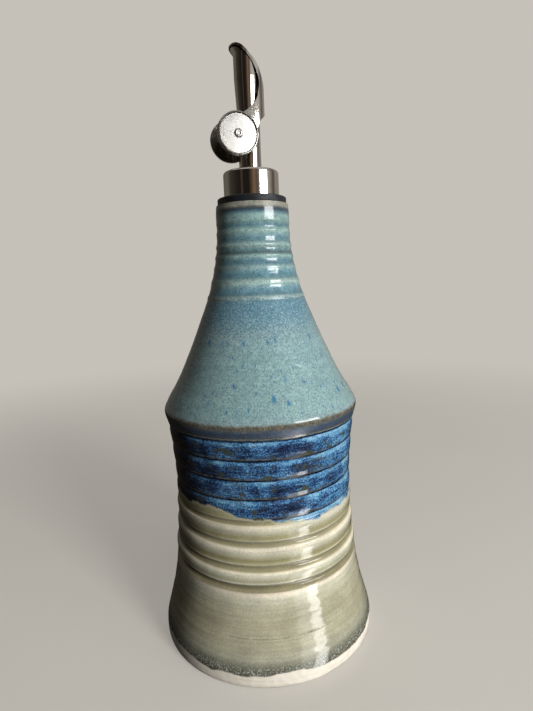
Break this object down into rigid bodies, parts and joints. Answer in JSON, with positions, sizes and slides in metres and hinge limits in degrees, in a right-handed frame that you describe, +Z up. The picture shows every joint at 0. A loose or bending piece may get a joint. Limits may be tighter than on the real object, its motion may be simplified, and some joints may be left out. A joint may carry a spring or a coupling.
{
  "type": "ceramic oil bottle with pouring spout",
  "caption": "Stoneware oil bottle with a flared foot, ribbed waist and conical shoulder, closed by a steel pouring spout with a weighted flap lid.",
  "frame": {"origin": "middle of the foot, on the surface that the bottle stands on", "axes": "+Z up along the bottle's axis, -X the side the spout pours to, +Y along the flap's hinge"},
  "size_m": [0.0904, 0.0904, 0.236],
  "materials": {
    "glaze": "glossy mottled glaze, celadon over cobalt over olive, with a bare clay foot",
    "stopper_rubber": "matt",
    "polished_steel": "polished stainless steel",
    "satin_steel": "satin stainless steel"
  },
  "bodies": {
    "bottle_body": {"bottle": "glaze", "stopper": "stopper_rubber", "collar": "polished_steel", "spout": "polished_steel", "hinge_pin_front": "polished_steel", "hinge_pin_back": "polished_steel"},
    "flap_body": {"flap": "polished_steel", "weight_front": "satin_steel", "weight_back": "satin_steel", "rivet_front": "satin_steel", "rivet_back": "satin_steel"}
  },
  "joints": [
    {"name": "flap_hinge", "type": "hinge", "parent": "bottle_body", "child": "flap_body", "pos_m": [-0.0004, 0, 0.206], "axis": [0, 1, 0], "range_deg": [0, 85]}
  ]
}
